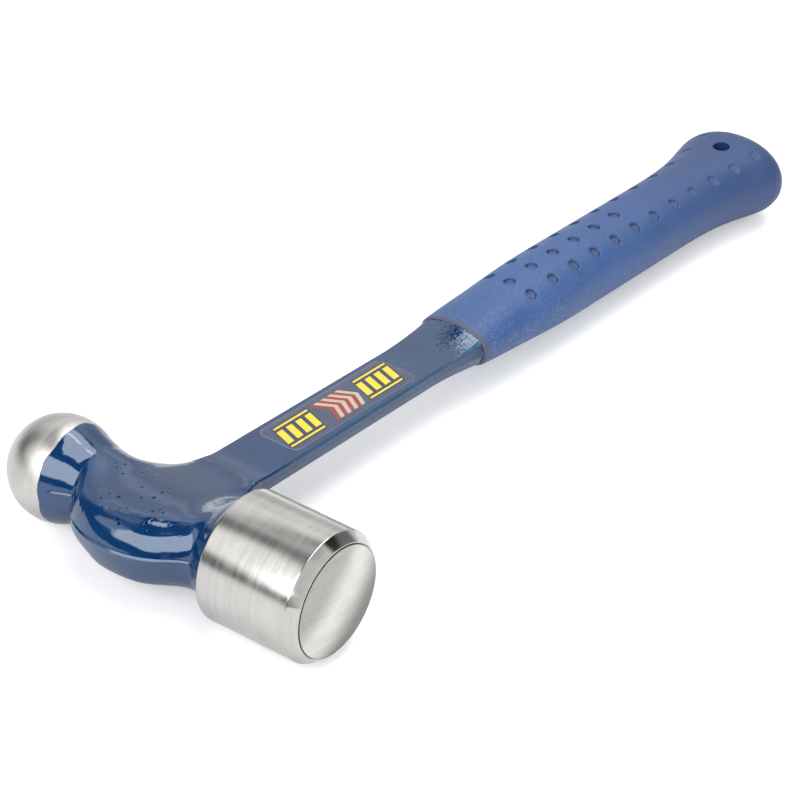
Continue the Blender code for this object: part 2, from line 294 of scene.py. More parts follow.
def soft_larger(first, second, reach):
    """The larger of two values, rounded off by a parabola where they are within reach of each other."""
    share = np.clip(0.5 + 0.5 * (first - second) / reach, 0.0, 1.0)
    return mix(second, first, share) + reach * share * (1.0 - share)


def oval_distance(across, up, half_width, half, squareness):
    """Radial distance to a superellipse: length times one less the inverse of its norm."""
    across = np.abs(across) + 1e-4
    norm = ((across / half_width) ** squareness + np.abs(up / half) ** squareness) ** (1.0 / squareness)
    return np.hypot(across, up) * (1.0 - 1.0 / norm)


def stations(*stretches):
    """Grid lines joined from stretches of (start, end, spacing)."""
    lines = [np.arange(round((end - start) / pitch)) * pitch + start for start, end, pitch in stretches]
    return np.concatenate(lines + [[stretches[-1][1]]])


def add_mesh(name, points, faces):
    """A mesh object at the origin of the scene, from points in millimetres."""
    mesh = bpy.data.meshes.new(name)
    mesh.from_pydata((points + ORIGIN) * MM, [], faces)
    made = bpy.data.objects.new(name, mesh)
    scene.collection.objects.link(made)
    return made


def new_piece(name, points, faces, material, node, normals=None):
    """A smooth mesh object of one material, riding on the hammer's one body."""
    piece = add_mesh(name, points, faces)
    piece.data.shade_smooth()
    if normals is not None:
        piece.data.normals_split_custom_set_from_vertices(normals)
    piece.data.materials.append(material)
    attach(piece, "root")
    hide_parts(node)
    return piece


def ring_faces(rows, columns):
    """Quads between rings of this many points, joined round each ring."""
    row, column = np.meshgrid(np.arange(rows - 1), np.arange(columns), indexing="ij")
    after = (column + 1) % columns
    quads = np.stack([row * columns + column, row * columns + after,
                      (row + 1) * columns + after, (row + 1) * columns + column], -1)
    return quads.reshape(-1, 4)


def tube(rings):
    """Points and faces of a closed tube: its rings, and a fan from each end ring to its middle."""
    rows, columns = rings.shape[:2]
    points = np.concatenate([rings.reshape(-1, 3), rings[:1].mean(1), rings[-1:].mean(1)])
    start = np.arange(columns)
    after = (start + 1) % columns
    base = (rows - 1) * columns
    first = np.stack([start * 0 + rows * columns, after, start], -1)
    last = np.stack([start * 0 + rows * columns + 1, base + start, base + after], -1)
    faces = ring_faces(rows, columns).tolist() + first.tolist() + last.tolist()
    return points, faces


def head_axes(points):
    """Across, along and above the head's leaning axis: a turn in plan by the rake."""
    x, y, z = points[..., 0], points[..., 1], points[..., 2]
    along = y * cos(RAKE) - x * sin(RAKE)
    across = x * cos(RAKE) + y * sin(RAKE)
    return across, along, z


def on_head(across, along, up):
    """Points from head axes: the inverse turn."""
    return np.stack([across * cos(RAKE) - along * sin(RAKE),
                     across * sin(RAKE) + along * cos(RAKE), up], -1)


def flare_share(x):
    """How far the shank has flared toward the grip: a power curve from its waist."""
    return np.clip((x - SHANK_WAIST) / (GRIP_FRONT - SHANK_WAIST), 0.0, FLARE_OVERRUN) ** FLARE_POWER


def shank_half(x):
    """Half the thickness along the handle: an eased slope from the cheeks, then even, then the flare."""
    slope = 1.0 - ease(x, SHANK_START, SHANK_THIN - SHANK_START)
    return (SHANK_HALF + (CHEEK_HALF - SHANK_HALF) * slope
            + (GRIP_FRONT_THICK * GRIP_LIP - LIP_CLEARANCE - SHANK_HALF) * flare_share(x))


def shank_width(x):
    """Half the width along the handle: the root's superellipse fillet, a slow taper and the flare."""
    share = np.clip((FILLET_END - x) / FILLET_LENGTH, 0.0, 1.0)
    root = FILLET_WIDTH * (1.0 - (1.0 - share ** FILLET_FULLNESS) ** (1.0 / FILLET_FULLNESS))
    taper = np.clip((x - SHANK_THIN) / (SHANK_WAIST - SHANK_THIN), 0.0, 1.0)
    return (mix(SHANK_HALF_WIDTH, SHANK_WAIST_HALF, taper) + root
            + (GRIP_FRONT_HALF * GRIP_LIP - LIP_CLEARANCE - SHANK_WAIST_HALF) * flare_share(x))


def root_reach(along):
    """The head's reach toward the handle: the root fillet's curve turned round, and a straight run."""
    narrowing = np.clip((SHANK_HALF_WIDTH + FILLET_WIDTH - np.abs(along)) / FILLET_WIDTH, 0.0, 1.0)
    share = (1.0 - narrowing ** FILLET_FULLNESS) ** (1.0 / FILLET_FULLNESS)
    return (FILLET_END - FILLET_LENGTH * share
            + ROOT_RUN * np.maximum(SHANK_HALF_WIDTH - np.abs(along), 0.0))


def collar_radius(along, start):
    """The collar's radius: a power curve from its core at this start to the poll."""
    share = np.clip((-along - start) / (POLL_BACK - start), 0.0, 1.0)
    return mix(COLLAR_CORE, COLLAR_RADIUS, share ** COLLAR_POWER)


def head_distance(across, along, up):
    """Distance to the head, a row of superellipse sections along its axis.

    On the belly's side a section reaches to the larger of a superellipse disc and the neck or collar.
    On the handle's side it follows the root fillet and thins down the shank's slope. Its height eases
    from the neck's and the collar's to the cheeks'. The neck is the larger of a cylinder and the
    ball's circle. Sections are round at the ends. Over the cheeks they have a flat top, a rounded
    edge and a side of two arcs, which meet at the parting plane a little above the axis. The lower
    arc has the larger radius.
    """
    ball = np.sqrt(np.maximum((BALL_RADIUS + PAINT_FILM) ** 2 - (along - BALL_CENTRE) ** 2, 0.01))
    neck = soft_larger(ball, NECK_RADIUS, NECK_BLEND)
    collar = collar_radius(along, COLLAR_START)
    rise = collar_radius(along, COLLAR_RISE_START)
    ahead = along > 0.0
    middle = 1.0 - np.where(ahead, ease(along, *CHEEK_NECK_FADE), ease(-along, *CHEEK_COLLAR_FADE))
    share = np.abs(along - BELLY_CENTRE) / BELLY_HALF_LENGTH
    full = np.maximum(1.0 - share ** BELLY_FULLNESS, 0.0) ** (1.0 / BELLY_FULLNESS)
    reach = np.where(ahead, soft_larger(BELLY_RADIUS * full, neck, BELLY_NECK_BLEND),
                     soft_larger(BELLY_RADIUS * full, collar, BELLY_COLLAR_BLEND))
    outer = ease(np.abs(along), *ROOT_FADE)
    bulged = neck + NECK_BULGE * ease(-along, *NECK_BULGE_FADE)
    back = mix(root_reach(along), np.where(ahead, bulged, collar), outer)
    half = mix(np.where(ahead, neck, rise), CHEEK_HALF, middle)
    half = half * mix(shank_half(across) / CHEEK_HALF, 1.0, outer)
    squareness = mix(ELLIPSE, CHEEK_SQUARENESS, middle)
    side_radius = np.where(up > PARTING, SIDE_RADIUS, UNDER_RADIUS)
    centre = reach - np.sqrt(side_radius ** 2 - SIDE_DROP ** 2)
    side = (np.hypot(np.maximum(-across - centre, 0.0), np.abs(up - PARTING) + SIDE_DROP) - side_radius
            - np.maximum(centre + across, 0.0))
    cheek = soft_overlap(np.abs(up) - half, side, CHEEK_EDGE)
    belly = mix(oval_distance(across, up, reach, half, ELLIPSE), cheek, middle)
    handle = oval_distance(across, up, back, half, squareness)
    return np.where(across < 0.0, belly, handle) * HEAD_DAMPING


def bar_distance(x, y, z):
    """Distance to the shank: a bar with drafted sides, whose top rises and arches toward the grip."""
    flare = flare_share(x)
    draft = mix(SHANK_DRAFT, FLARE_DRAFT, flare)
    width = shank_width(x)
    top = np.abs(z) - shank_half(x) + FLARE_CROWN * flare * (y / (width - FLARE_CROWN_INSET * flare)) ** 2
    side = (np.abs(y) - width) * np.cos(draft) + np.abs(z) * np.sin(draft)
    return soft_overlap(top * SHANK_DAMPING, side, SHANK_EDGE)


def forging_distance(points):
    """Distance to the lacquered forging, from a few solids.

    The head joins the back of the poll, a disc, in a fillet. Along the root it turns into the shank's
    bar. A low ridge, a bell curve, follows the parting plane. The lacquer ends on the ball in a wavy
    line, with a low dome inside it that the ball hides.
    """
    x, y, z = points[..., 0], points[..., 1], points[..., 2]
    across, along, up = head_axes(points)
    radial = np.hypot(across, up)
    head = head_distance(across, along, up)
    back = soft_overlap(radial - POLL_RADIUS + DISC_INSET, along + POLL_BACK + DISC_COVER, DISC_EDGE)
    head = soft_union(head, back, COLLAR_FILLET)
    field = mix(head, bar_distance(x, y, z), ease(x, *HEAD_FADE))
    ridge = (RIDGE_HEIGHT * np.exp(-((up - PARTING) / RIDGE_WIDTH) ** 2)
             * ease(-along, *RIDGE_NECK_FADE) * ease(along, *RIDGE_COLLAR_FADE))
    field = field - ridge * ease(-x, *RIDGE_SHANK_FADE)
    turn = np.arctan2(up, across)
    waves = sum(height * np.sin(count * turn + phase) for height, count, phase in PAINT_WAVES)
    wander = waves * ease(radial, *PAINT_WAVE_FADE)
    dome = PAINT_DOME * (PAINT_RADIUS - radial)
    field = soft_overlap(field, along - PAINT_EDGE - wander - dome, PAINT_ROUND)
    field = np.maximum(field, -along - POLL_BACK - DISC_DEPTH)
    return np.maximum(field, x - GRIP_FRONT - SHANK_OVERLAP)


def unit(vectors):
    """Vectors divided by their lengths."""
    return vectors / np.maximum(np.linalg.norm(vectors, axis=-1, keepdims=True), 1e-9)


def slope_of(distance, points, step=0.02):
    """Gradient of a distance by central differences."""
    shifts = np.eye(3) * step
    return np.stack([(distance(points + shift) - distance(points - shift)) / (2.0 * step)
                     for shift in shifts], -1)


def cell_points(value, lattice, crossings):
    """A point for each grid cell that the surface crosses: the mean of the crossings on its edges.

    A crossing lies where the distance, taken as straight along the grid line, is zero. Returns the
    points and each cell's number among them.
    """
    cells = tuple(size - 1 for size in value.shape)
    total = np.zeros(cells + (3,))
    count = np.zeros(cells)
    for axis, crossed in enumerate(crossings):
        low, high = grid_ends(axis)
        share = value[low] / np.where(crossed, value[low] - value[high], 1.0)
        place = mix(lattice[low], lattice[high], share[..., None])
        others = [other for other in range(3) if other != axis]
        for shift in ((0, 0), (0, 1), (1, 0), (1, 1)):
            part = [slice(None)] * 3
            for other, start in zip(others, shift):
                part[other] = slice(start, start + cells[other])
            part = tuple(part)
            total += np.where(crossed[part][..., None], place[part], 0.0)
            count += crossed[part]
    used = count > 0
    index = np.full(cells, -1)
    index[used] = np.arange(used.sum())
    return total[used] / count[used][:, None], index


def grid_ends(axis):
    """Slices for the lower and the upper ends of the grid lines along an axis."""
    low, high = [slice(None)] * 3, [slice(None)] * 3
    low[axis] = slice(None, -1)
    high[axis] = slice(1, None)
    return tuple(low), tuple(high)


def crossing_quads(axis, crossed, inside, index):
    """A quad for each grid line that the surface crosses, from the four cells around the line."""
    first, second = [(1, 2), (2, 0), (0, 1)][axis]
    cells = index.shape
    place = np.argwhere(crossed)
    inner = ((place[:, first] > 0) & (place[:, first] < cells[first])
             & (place[:, second] > 0) & (place[:, second] < cells[second]))
    place = place[inner]
    back_first, back_second = np.eye(3, dtype=int)[[first, second]]
    corners = [place - back_first - back_second, place - back_second, place, place - back_first]
    quads = np.stack([index[tuple(corner.T)] for corner in corners], -1)
    outward = inside[tuple(place.T)]
    return np.where(outward[:, None], quads, quads[:, ::-1])


def skin(distance, axes, rounds=4, stride=0.3, least_slope=0.05):
    """The zero surface of a distance on a box grid.

    Each cell that the surface crosses gets a point, which slides down the gradient onto the surface
    in a few rounds. Each grid line that the surface crosses gets a quad. Normals are the gradient's.
    """
    lattice = np.stack(np.meshgrid(*axes, indexing="ij"), -1)
    value = np.stack([distance(layer) for layer in lattice])
    inside = value < 0.0
    crossings = [inside[low] != inside[high] for low, high in map(grid_ends, range(3))]
    points, index = cell_points(value, lattice, crossings)
    for _ in range(rounds):
        gradient = slope_of(distance, points)
        size = np.maximum((gradient ** 2).sum(-1), least_slope)
        step = np.clip(distance(points) / size, -stride, stride)
        points = points - gradient * step[:, None]
    faces = [crossing_quads(axis, crossed, inside, index) for axis, crossed in enumerate(crossings)]
    return points, np.concatenate(faces), unit(slope_of(distance, points))


# Pieces

def make_forging(material):
    """The lacquered forging: the zero surface of its distance on a grid that is finer at its edges."""
    axes = [stations(*stretches) for stretches in FORGING_GRID]
    points, faces, normals = skin(forging_distance, axes)
    new_piece("lacquered_forging", points, faces.tolist(), material, "forged_hammer", normals)


def turned(profile):
    """A profile of (radius, along) carried round the head's axis."""
    angle = np.arange(TURN_COLUMNS) * 2.0 * pi / TURN_COLUMNS
    radius, along = profile[:, :1], profile[:, 1:]
    return on_head(radius * np.cos(angle), along + 0.0 * angle, radius * np.sin(angle))


def round_corners(profile, radii, count=7):
    """A profile whose corners are rounded: each becomes a parabola between two points near it."""
    lines = [profile[:1]]
    for before, corner, after, radius in zip(profile[:-2], profile[1:-1], profile[2:], radii):
        into = (before - corner) / np.linalg.norm(before - corner)
        out = (after - corner) / np.linalg.norm(after - corner)
        share = np.linspace(0.0, 1.0, count)[:, None]
        lines.append(corner + radius * (into * (1.0 - share) ** 2 + out * share ** 2))
    return np.concatenate(lines + [profile[-1:]])


def make_poll(barrel_finish, face_finish):
    """The poll, turned: back edge, barrel, chamfer, a fine groove and the crowned face.

    The crown is a shallow parabola of the radius. The rings from the groove inwards take the face's
    finish.
    """
    back = -POLL_BACK - BARREL_GAP
    outer = np.array([[POLL_CORE, back], [POLL_RADIUS, back], [POLL_RADIUS, -FACE_RIM + CHAMFER],
                      [FACE_RADIUS + RIM_LAND, -FACE_RIM + RIM_HEIGHTS[0]],
                      [FACE_RADIUS, -FACE_RIM - RIM_HEIGHTS[1]]])
    outer = round_corners(outer, POLL_ROUNDS)
    groove = np.array([[FACE_RADIUS - GROOVE_WIDTH, -FACE_RIM + GROOVE_DEPTH],
                       [FACE_RADIUS - 2.0 * GROOVE_WIDTH, -FACE_RIM + GROOVE_DEPTH]])
    radius = np.linspace(FACE_RADIUS - 0.4, 0.4, 60)
    crown = np.stack([radius, -FACE_RIM - FACE_STEP - FACE_CROWN * (1.0 - (radius / FACE_RADIUS) ** 2)], -1)
    points, faces = tube(turned(np.concatenate([outer, groove, crown])))
    poll = new_piece("ground_poll", points, faces, barrel_finish, "forged_hammer")
    poll.data.materials.append(face_finish)
    centre = np.zeros(len(poll.data.polygons) * 3)
    poll.data.polygons.foreach_get("center", centre)
    across, along, up = head_axes(centre.reshape(-1, 3) / MM - ORIGIN)
    on_face = (along < -FACE_RIM + 0.3) & (np.hypot(across, up) < FACE_RADIUS - 0.2)
    poll.data.polygons.foreach_set("material_index", on_face.astype(np.int32))


def make_ball(material):
    """The bare end of the ball, turned: an arc from under the lacquer's edge to the tip."""
    edge = acos((PAINT_EDGE - BALL_UNDERLAP - BALL_CENTRE) / BALL_RADIUS)
    angle = np.linspace(edge, 0.02, 90)
    profile = np.stack([BALL_RADIUS * np.sin(angle), BALL_CENTRE + BALL_RADIUS * np.cos(angle)], -1)
    points, faces = tube(turned(profile)[::-1])
    new_piece("ground_ball", points, faces, material, "forged_hammer")


def grip_half(x):
    """Half the grip's width and thickness: a sine swell to the palm, and a butt flare that levels off."""
    swell = np.sin(np.clip((x - GRIP_FRONT) / SWELL_LENGTH, 0.0, 1.0) * pi / 2.0)
    share = np.clip(1.0 - (GRIP_END - BUTT_DOME - x) / SPREAD_LENGTH, 0.0, 1.0)
    spread = 1.0 - (1.0 - share ** SPREAD_START_POWER) ** SPREAD_END_POWER
    return [front + palm * swell + butt * spread for front, palm, butt
            in zip((GRIP_FRONT_HALF, GRIP_FRONT_THICK), PALM_SWELL, BUTT_SPREAD)]


def grip_rings():
    """The grip's superellipse rings, with a rounded lip at the front and a dome at the butt.

    The dome is a quarter circle whose place and size are taken to powers. A ring's points are spread
    by an angle that is finer on the broad sides.
    """
    along = stations(*GRIP_STATIONS)
    half_width, half = grip_half(along)
    scale = np.ones_like(along)
    dome_start = GRIP_END - BUTT_DOME
    dome = np.linspace(0.0, DOME_END, 40)[1:]
    place = dome_start + BUTT_DOME * np.sin(dome) ** DOME_PLACE_POWER
    keep = place > along[-1] + 0.2
    dome, place = dome[keep], place[keep]
    end_width, end_half = grip_half(place)
    inner = along > dome_start
    share = np.clip((along[inner] - GRIP_END + BUTT_DOME) / BUTT_DOME, 0.0, 1.0) ** (1.0 / DOME_PLACE_POWER)
    scale[inner] = np.sqrt(1.0 - share ** 2) ** DOME_SIZE_POWER
    front = len(LIP_PLACES)
    along = np.concatenate([GRIP_FRONT + LIP_PLACES, along[1:], place])
    half_width = np.concatenate([np.full(front, half_width[0]), half_width[1:], end_width])
    half = np.concatenate([np.full(front, half[0]), half[1:], end_half])
    scale = np.concatenate([LIP_SCALES, scale[1:], np.cos(dome) ** DOME_SIZE_POWER])
    turn = np.arange(GRIP_COLUMNS) * 2.0 * pi / GRIP_COLUMNS
    angle = turn + GRIP_CROWDING * np.sin(2.0 * turn)
    settled = ease(along, *SQUARENESS_FADE)
    power = 2.0 / mix(GRIP_FRONT_SQUARENESS, GRIP_SQUARENESS, settled)[:, None]
    wide = np.sign(np.cos(angle)) * np.abs(np.cos(angle)) ** power
    tall = np.sign(np.sin(angle)) * np.abs(np.sin(angle)) ** power
    y = (half_width * scale)[:, None] * wide
    z = (half * scale)[:, None] * tall
    return np.stack([along[:, None] + 0.0 * y, y, z], -1)


def dimple_places():
    """Centres and depths of the dimples on one side: two outer rows and a shorter middle one."""
    outer = DIMPLE_START + DIMPLE_PITCH * np.arange(DIMPLE_COUNT)
    middle = DIMPLE_START - MIDDLE_SHIFT + DIMPLE_PITCH * np.arange(MIDDLE_COUNT)
    x = np.concatenate([outer, outer, middle])
    side = DIMPLE_SIDE + ROW_SPREAD * ease(outer, *ROW_FADE)
    y = np.concatenate([-side, side, middle * 0.0])
    fading = mix(1.0, DIMPLE_LEAST, ease(outer, *DIMPLE_FADE))
    return x, y, np.concatenate([fading, fading, middle * 0.0 + 1.0])


def drill(grip):
    """Cut the hang hole, a cylinder through the butt, out of the grip's mesh."""
    turn = np.arange(48) * 2.0 * pi / 48
    ring = np.stack([HOLE_PLACE + HOLE_RADIUS * np.cos(turn), HOLE_RADIUS * np.sin(turn), turn * 0.0], -1)
    reach = (0.0, 0.0, BORE_REACH)
    tool = add_mesh("bore", *tube(np.stack([ring - reach, ring + reach])))
    cut = grip.modifiers.new("hole", 'BOOLEAN')
    cut.operation = 'DIFFERENCE'
    cut.object = tool
    bpy.context.view_layer.update()
    finished = bpy.data.meshes.new_from_object(grip.evaluated_get(bpy.context.evaluated_depsgraph_get()))
    grip.modifiers.clear()
    grip.data = finished
    bpy.data.objects.remove(tool)


def make_grip(material):
    """The grip: its rings with dimples pressed in, and the hang hole cut through.

    A dimple is a round step down the normal, from its rim to a flat floor. Attributes keep how far
    down the step a point is, from 0 to 1, and how deep its dimple is beside the others.
    """
    rings = grip_rings()
    x, y = rings[..., 0], rings[..., 1]
    lengthwise = np.gradient(rings, axis=0)
    crosswise = np.roll(rings, -1, 1) - np.roll(rings, 1, 1)
    normal = unit(np.cross(crosswise, lengthwise))
    tilt = np.maximum(np.abs(normal[..., 2]), DIMPLE_TILT)
    sunk, pressed, fade = np.zeros_like(x), np.zeros_like(x), np.zeros_like(x)
    for px, py, depth in zip(*dimple_places()):
        away = np.hypot(x - px, (y - py) / tilt)
        step = ease((DIMPLE_RADIUS + DIMPLE_RIM - away) / DIMPLE_WALL)
        sunk = np.maximum(sunk, DIMPLE_DEPTH * depth * step)
        pressed = np.maximum(pressed, step)
        fade = np.where(away < DIMPLE_RADIUS + DIMPLE_NEAR, depth, fade)
    rim = np.hypot(x - HOLE_PLACE, y)
    sunk = np.maximum(sunk, HOLE_EDGE_DEPTH * ease((HOLE_RADIUS + HOLE_EDGE - rim) / HOLE_EDGE_WIDTH))
    rings = rings - normal * sunk[..., None]
    points, faces = tube(rings[:, ::-1])
    grip = new_piece("dimpled_grip", points, faces, material, "grip")
    for name, values in (("pressed", pressed), ("fade", fade)):
        stored = grip.data.attributes.new(name, 'FLOAT', 'POINT')
        stored.data.foreach_set("value", np.append(values[:, ::-1].ravel(), (0.0, 0.0)))
    drill(grip)


def make_label(material):
    """The label: a thin closed film on the shank's upper side.

    Its outline is a rectangle with round corners. Rings of it go from the film's foot up its edge and
    then, shrunk, inwards over the top to the middle line.
    """
    corner = np.linspace(0.0, pi / 2.0, 9)
    quarter = np.stack([np.cos(corner), np.sin(corner)], -1) - 1.0
    straight = np.linspace(-1.0, 1.0, 60)[1:-1]
    one = np.array([LABEL_HALF_LENGTH, LABEL_HALF]) + LABEL_CORNER * quarter
    far = np.stack([straight[::-1] * (LABEL_HALF_LENGTH - LABEL_CORNER), 0.0 * straight + LABEL_HALF], -1)
    half = np.concatenate([one, far, one[::-1] * (-1.0, 1.0)])
    outline = np.concatenate([half, -half])
    spread = np.stack([1.0 - LABEL_INSETS * LABEL_HALF / LABEL_HALF_LENGTH, 1.0 - LABEL_INSETS], -1)
    flat = outline * spread[:, None, :]
    height = np.broadcast_to((SHANK_HALF + LABEL_HEIGHTS)[:, None, None], flat.shape[:2] + (1,))
    points, faces = tube(np.concatenate([flat + (LABEL_MIDDLE, 0.0), height], -1))
    new_piece("film_label", points, faces, material, "label")


# Materials

def node(tree, kind, feeds=None, **settings):
    """The outputs of a new node, whose settings are set and whose inputs are linked or given values."""
    made = tree.nodes.new("ShaderNode" + kind)
    for key, value in settings.items():
        setattr(made, key, value)
    for key, value in (feeds or {}).items():
        if isinstance(value, bpy.types.NodeSocket):
            tree.links.new(value, made.inputs[key])
        else:
            made.inputs[key].default_value = value
    return made.outputs


def sums(operation, first, second=0.0, third=0.0):
    """One step of arithmetic on one, two or three values, the first from a socket."""
    return node(first.id_data, "Math", {0: first, 1: second, 2: third}, operation=operation)[0]


def times(first, second):
    """The product of two values."""
    return sums('MULTIPLY', first, second)


def minus(first, second):
    """The first value less the second."""
    return sums('SUBTRACT', first, second)


def ramp(value, low, high, start=0.0, end=1.0):
    """A smooth step of a value from low to high, between start and end."""
    limits = {"From Min": low, "From Max": high, "To Min": start, "To Max": end}
    return node(value.id_data, "MapRange", {"Value": value, **limits}, interpolation_type='SMOOTHSTEP')[0]


def blend(share, first, second):
    """Two colours mixed by a share."""
    first, second = [colour if isinstance(colour, bpy.types.NodeSocket) else (*colour, 1.0)
                     for colour in (first, second)]
    return node(share.id_data, "Mix", {0: share, 6: first, 7: second}, data_type='RGBA')[2]


def spacing(tree, parts, centre):
    """Distance of a place, given by its parts, from a centre."""
    place = node(tree, "CombineXYZ", parts)[0]
    return node(tree, "VectorMath", {0: place, 1: centre}, operation='DISTANCE')["Value"]


def noise(tree, place, scale, detail, **more):
    """Smooth noise at a place, from layers of finer and finer noise."""
    return node(tree, "TexNoise", {"Vector": place, "Scale": scale, "Detail": detail, **more})[0]


def new_group(name, inputs, outputs):
    """A shader node group with named sockets: its tree, what it is given and what it puts out.

    An input without a value is a vector. All other sockets are floats.
    """
    tree = bpy.data.node_groups.new(name, "ShaderNodeTree")
    for label, value in inputs.items():
        kind = "NodeSocketVector" if value is None else "NodeSocketFloat"
        made = tree.interface.new_socket(label, in_out='INPUT', socket_type=kind)
        if value is not None:
            made.default_value = value
    for label in outputs:
        tree.interface.new_socket(label, in_out='OUTPUT', socket_type="NodeSocketFloat")
    return tree, tree.nodes.new("NodeGroupInput").outputs, tree.nodes.new("NodeGroupOutput").inputs


def group_mottle():
    """Cloudy tone: layered noise, stretched about its middle by a contrast."""
    tree, given, out = new_group("mottle", {"Place": None, "Scale": 1.0, "Contrast": 2.0}, ["Tone"])
    cloud = noise(tree, given["Place"], given["Scale"], 4.0, Roughness=0.6)
    centred = minus(cloud, 0.5)
    spread = sums('MULTIPLY_ADD', centred, given["Contrast"], 0.5)
    clipped = node(tree, "Clamp", {"Value": spread})
    tree.links.new(clipped[0], out["Tone"])
    return tree


def group_ripple():
    """Uneven height: broad noise and fine noise, each with its own size and depth."""
    tree, given, out = new_group("ripple", {"Place": None, "Broad": 0.3, "Broad Depth": 0.01, "Fine": 1.0,
                                            "Fine Depth": 0.005}, ["Height"])
    total = 0.0
    for size in ("Broad", "Fine"):
        wave = noise(tree, given["Place"], given[size], 1.5, Distortion=0.4)
        total = sums('MULTIPLY_ADD', wave, given[size + " Depth"], total)
    tree.links.new(total, out["Height"])
    return tree


def group_specks():
    """Scattered specks: cells' distances cut off at a size that differs from cell to cell."""
    tree, given, out = new_group("specks", {"Place": None, "Scale": 1.0, "Share": 0.3, "Size": 0.2},
                                 ["Mask"])
    cells = node(tree, "TexVoronoi", {"Vector": given["Place"], "Scale": given["Scale"]})
    chance = node(tree, "SeparateColor", {0: cells["Color"]})
    chosen = sums('LESS_THAN', chance[0], given["Share"])
    size = times(given["Size"], sums('ADD', chance[1], 0.4))
    inner = times(size, 0.5)
    dot = ramp(cells["Distance"], inner, size, 1.0, 0.0)
    tree.links.new(times(chosen, dot), out["Mask"])
    return tree


def group_brushing():
    """Brushed lines: noise squeezed hard across the stroke, in a fine and a coarser layer."""
    tree, given, out = new_group("brushing", {"Place": None, "Scale": 1.0}, ["Tone", "Height"])
    fine = noise(tree, given["Place"], given["Scale"], 3.0, Roughness=0.7)
    fifth = times(given["Scale"], 0.2)
    coarse = noise(tree, given["Place"], fifth, 2.0)
    half = times(fine, 0.5)
    tree.links.new(sums('MULTIPLY_ADD', coarse, 0.5, half), out["Tone"])
    tree.links.new(fine, out["Height"])
    return tree


def use(tree, group, feeds):
    """The outputs of a group placed in a tree with its own values."""
    return node(tree, "Group", feeds, node_tree=group)


def start_material(name, **constants):
    """A material, its shader with constant values, and the place on the hammer in millimetres."""
    material = bpy.data.materials.new(name)
    material.use_nodes = True
    tree = material.node_tree
    shader = tree.nodes["Principled BSDF"]
    for key, value in constants.items():
        shader.inputs[key.replace("_", " ")].default_value = value
    coordinates = node(tree, "TexCoord")
    place = node(tree, "Mapping", {"Vector": coordinates["Object"], "Scale": (1000.0,) * 3,
                                   "Location": tuple(-ORIGIN)})[0]
    parts = node(tree, "SeparateXYZ", {0: place})
    return material, tree, shader, place, parts


def finish_material(material, colour, roughness, height):
    """The material, with colour, roughness and a bump of this height in millimetres in its shader."""
    tree = material.node_tree
    bump = node(tree, "Bump", {"Height": height, "Distance": MM})[0]
    for name, value in (("Base Color", colour), ("Roughness", roughness), ("Normal", bump)):
        tree.links.new(value, tree.nodes["Principled BSDF"].inputs[name])
    return material


def make_lacquer(mottle, ripple, specks):
    """Deep blue lacquer: cloudy colour, orange peel that is stronger toward the grip, pits on the cheeks.

    A pale painted highlight runs along the shank's edges, where the surface turns from the top to the side.
    """
    material, tree, shader, place, (x, y, z) = start_material("blue_lacquer", IOR=1.8,
                                                              Specular_Tint=LACQUER_GLOSS)
    cloud = use(tree, mottle, {"Place": place, "Scale": 0.08, "Contrast": 2.0})[0]
    colour = blend(cloud, LACQUER_DEEP, LACQUER_LIGHT)
    peel = use(tree, ripple, {"Place": place, "Broad": 0.28, "Broad Depth": 0.05, "Fine": 0.9,
                              "Fine Depth": 0.009})[0]
    rough = use(tree, ripple, {"Place": place, "Broad": 0.6, "Broad Depth": 0.13, "Fine": 1.3,
                               "Fine Depth": 0.07})[0]
    toward_grip = ramp(x, 70.0, 118.0)
    height = sums('MULTIPLY_ADD', rough, toward_grip, peel)

    stretched = node(tree, "Mapping", {"Vector": place, "Scale": (0.55, 1.0, 1.0),
                                       "Rotation": (0.0, 0.0, 0.5)})[0]
    pits = use(tree, specks, {"Place": stretched, "Scale": 0.6, "Share": 0.6, "Size": 0.29})[0]
    on_cheek = times(ramp(sums('ABSOLUTE', z), 8.0, 9.5), ramp(sums('ABSOLUTE', y), 14.0, 22.0, 1.0, 0.0))
    pitted = times(pits, on_cheek)
    height = sums('MULTIPLY_ADD', pitted, -0.05, height)
    colour = blend(times(pitted, 0.6), colour, LACQUER_PIT)
    tree.links.new(times(pitted, 0.9), shader.inputs["Metallic"])

    # Painted highlight: a pale band on the shank's rounded edges, where the normal turns from up to the
    # side
    normal = node(tree, "NewGeometry")["Normal"]
    facing = node(tree, "SeparateXYZ", {0: normal})
    turned_up = sums('ABSOLUTE', facing[2])
    edge = times(ramp(turned_up, 0.5, 0.65), ramp(turned_up, 0.78, 0.93, 1.0, 0.0))
    edge = times(edge, ramp(x, 34.0, 50.0, 0.0, 0.6))
    colour = blend(edge, colour, LACQUER_EDGE_HIGHLIGHT)
    roughness = ramp(cloud, 0.0, 1.0, 0.045, 0.075)
    return finish_material(material, colour, roughness, height)


